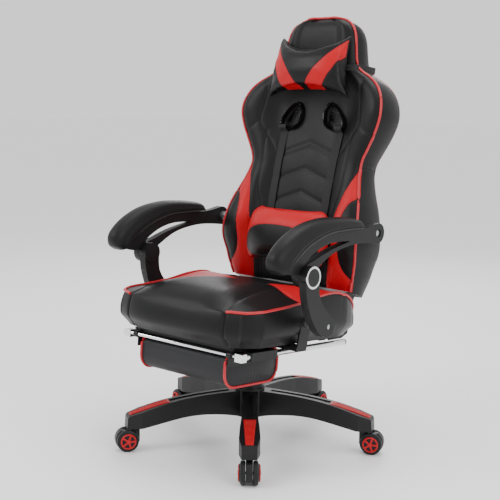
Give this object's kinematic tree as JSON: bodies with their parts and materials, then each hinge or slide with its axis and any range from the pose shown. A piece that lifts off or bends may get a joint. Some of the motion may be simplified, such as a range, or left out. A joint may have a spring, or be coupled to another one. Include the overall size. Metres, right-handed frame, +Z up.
{
  "type": "gaming_chair",
  "caption": "High-back reclining gaming chair with linked arms, head and lumbar pillows, pull-out flip-over footrest and caster star base",
  "frame": {"origin": "where the seat's swivel axis meets the floor", "axes": "+X to the sitter's left, +Y to the rear of the chair, +Z up; the seat is at its lowest and the backrest is upright"},
  "size_m": [0.7301, 0.7141, 1.1697],
  "materials": {
    "nylon_black": "matte",
    "insert_red": "satin",
    "trim_black": "glossy",
    "leather_black": "grained",
    "leather_red": "grained",
    "strap_black": "woven",
    "chrome": "polished",
    "steel_black": "powder coated",
    "steel_zinc": "zinc plated",
    "plywood": "raw",
    "tyre_black": "matte"
  },
  "bodies": {
    "base": {"star_base": "nylon_black", "base_inserts": "insert_red", "column_tube": "steel_black", "guide_bush": "nylon_black", "thrust_bearing": "steel_zinc", "column_lower_cover": "nylon_black"},
    "swivel": {"piston_rod": "steel_zinc"},
    "lift": {"gas_cylinder": "steel_black", "column_upper_cover": "nylon_black", "tilt_housing": "steel_black", "tension_spring": "steel_zinc"},
    "knob": {"tension_knob": "nylon_black"},
    "lever": {"height_lever": "nylon_black"},
    "seat": {"tilt_axle": "steel_zinc", "seat_plate": "steel_black", "seat_side_rails": "steel_black", "seat_cross_rails": "steel_black", "seat_board": "plywood", "seat_cushion": "leather_black", "recline_brackets": "steel_black", "recline_pins": "steel_zinc", "link_brackets": "steel_black", "link_bolts": "steel_zinc", "footrest_guides": "nylon_black"},
    "release": {"recline_lever": "nylon_black"},
    "back": {"back_frame": "steel_black", "back_cushion": "leather_black", "harness_trims": "trim_black", "lumbar_straps": "strap_black", "head_strap": "strap_black", "rear_arm_bolts": "steel_zinc", "recline_shaft": "steel_zinc"},
    "lumbar": {"lumbar_pillow": "leather_red"},
    "head": {"head_pillow": "leather_black"},
    "arm_l": {"arm_frame_left": "nylon_black", "arm_pad_left": "leather_black"},
    "arm_r": {"arm_frame_right": "nylon_black", "arm_pad_right": "leather_black"},
    "link_l": {"arm_link_left": "nylon_black", "arm_cap_left": "chrome"},
    "link_r": {"arm_link_right": "nylon_black", "arm_cap_right": "nylon_black"},
    "footrest": {"footrest_tubes": "chrome", "footrest_crossbar": "steel_black", "footrest_corners": "chrome", "footrest_end_caps": "nylon_black", "footrest_rod": "chrome"},
    "footpad": {"footrest_pad": "leather_black", "footrest_hinges": "steel_black"},
    "fork_1": {"caster_fork_1": "nylon_black"},
    "wheels_1": {"caster_wheels_1": "tyre_black"},
    "fork_2": {"caster_fork_2": "nylon_black"},
    "wheels_2": {"caster_wheels_2": "tyre_black"},
    "fork_3": {"caster_fork_3": "nylon_black"},
    "wheels_3": {"caster_wheels_3": "tyre_black"},
    "fork_4": {"caster_fork_4": "nylon_black"},
    "wheels_4": {"caster_wheels_4": "tyre_black"},
    "fork_5": {"caster_fork_5": "nylon_black"},
    "wheels_5": {"caster_wheels_5": "tyre_black"}
  },
  "joints": [
    {"name": "seat_swivel", "type": "hinge", "parent": "base", "child": "swivel", "pos_m": [0, 0, 0.1], "axis": [0, 0, 1], "continuous": true},
    {"name": "height", "type": "slide", "parent": "swivel", "child": "lift", "axis": [0, 0, 1], "range_m": [0, 0.08]},
    {"name": "tension_turn", "type": "hinge", "parent": "lift", "child": "knob", "pos_m": [0, 0.074, 0.24], "axis": [0, 0, 1], "range_deg": [-360, 360]},
    {"name": "height_lever_lift", "type": "hinge", "parent": "lift", "child": "lever", "pos_m": [0, 0.034, 0.266], "axis": [-1, 0, 0], "range_deg": [0, 14], "stiffness_Nm_per_rad": 0.02, "springref_deg": -5.73},
    {"name": "seat_tilt", "type": "hinge", "parent": "lift", "child": "seat", "pos_m": [0, -0.038, 0.284], "axis": [-1, 0, 0], "range_deg": [0, 9], "stiffness_Nm_per_rad": 180, "springref_deg": -20.05, "deforming": ["tension_spring"]},
    {"name": "recline_release", "type": "hinge", "parent": "seat", "child": "release", "pos_m": [0, 0.185, 0.291], "axis": [-1, 0, 0], "range_deg": [0, 24], "stiffness_Nm_per_rad": 0.5, "springref_deg": -11.46},
    {"name": "recline", "type": "hinge", "parent": "seat", "child": "back", "pos_m": [0, 0.246, 0.458], "axis": [-1, 0, 0], "range_deg": [0, 42]},
    {"name": "left_link_swing", "type": "hinge", "parent": "seat", "child": "link_l", "pos_m": [0, -0.067, 0.38], "axis": [-1, 0, 0], "range_deg": [0, 44]},
    {"name": "right_link_swing", "type": "hinge", "parent": "seat", "child": "link_r", "pos_m": [0, -0.067, 0.38], "axis": [-1, 0, 0], "range_deg": [0, 44]},
    {"name": "left_arm_level", "type": "hinge", "parent": "back", "child": "arm_l", "pos_m": [0, 0.176, 0.592], "axis": [-1, 0, 0], "range_deg": [-44, 0]},
    {"name": "right_arm_level", "type": "hinge", "parent": "back", "child": "arm_r", "pos_m": [0, 0.176, 0.592], "axis": [-1, 0, 0], "range_deg": [-44, 0]},
    {"name": "lumbar_slide", "type": "slide", "parent": "back", "child": "lumbar", "axis": [0, 0.2079, 0.9781], "range_m": [0, 0.1]},
    {"name": "head_slide", "type": "slide", "parent": "back", "child": "head", "axis": [0, 0.2079, 0.9781], "range_m": [0, 0.03]},
    {"name": "footrest_pull", "type": "slide", "parent": "seat", "child": "footrest", "axis": [0, -0.9969, 0.0785], "range_m": [0, 0.3]},
    {"name": "footrest_flip", "type": "hinge", "parent": "footrest", "child": "footpad", "pos_m": [0, -0.27002, 0.31831], "axis": [-1, 0, 0], "range_deg": [0, 180.5]},
    {"name": "caster_swivel_1", "type": "hinge", "parent": "base", "child": "fork_1", "pos_m": [0.21388, -0.24604, 0.06], "axis": [0, 0, 1], "continuous": true},
    {"name": "wheel_roll_1", "type": "hinge", "parent": "fork_1", "child": "wheels_1", "pos_m": [0.22831, -0.26264, 0.03], "axis": [0.7547, 0.6561, 0], "continuous": true},
    {"name": "caster_swivel_2", "type": "hinge", "parent": "base", "child": "fork_2", "pos_m": [0.30008, 0.12738, 0.06], "axis": [0, 0, 1], "continuous": true},
    {"name": "wheel_roll_2", "type": "hinge", "parent": "fork_2", "child": "wheels_2", "pos_m": [0.32034, 0.13597, 0.03], "axis": [-0.3907, 0.9205, 0], "continuous": true},
    {"name": "caster_swivel_3", "type": "hinge", "parent": "base", "child": "fork_3", "pos_m": [-0.02841, 0.32476, 0.06], "axis": [0, 0, 1], "continuous": true},
    {"name": "wheel_roll_3", "type": "hinge", "parent": "fork_3", "child": "wheels_3", "pos_m": [-0.03033, 0.34668, 0.03], "axis": [-0.9962, -0.0872, 0], "continuous": true},
    {"name": "caster_swivel_4", "type": "hinge", "parent": "base", "child": "fork_4", "pos_m": [-0.31765, 0.07333, 0.06], "axis": [0, 0, 1], "continuous": true},
    {"name": "wheel_roll_4", "type": "hinge", "parent": "fork_4", "child": "wheels_4", "pos_m": [-0.33908, 0.07828, 0.03], "axis": [-0.225, -0.9744, 0], "continuous": true},
    {"name": "caster_swivel_5", "type": "hinge", "parent": "base", "child": "fork_5", "pos_m": [-0.1679, -0.27944, 0.06], "axis": [0, 0, 1], "continuous": true},
    {"name": "wheel_roll_5", "type": "hinge", "parent": "fork_5", "child": "wheels_5", "pos_m": [-0.17923, -0.29829, 0.03], "axis": [0.8572, -0.515, 0], "continuous": true}
  ],
  "couplings": [
    {"joint": "left_link_swing", "follows": "recline", "ratio": 1},
    {"joint": "right_link_swing", "follows": "recline", "ratio": 1},
    {"joint": "left_arm_level", "follows": "recline", "ratio": -1},
    {"joint": "right_arm_level", "follows": "recline", "ratio": -1},
    {"joint": "footrest_flip", "follows": "footrest_pull", "rad_per_m": 10.472}
  ]
}
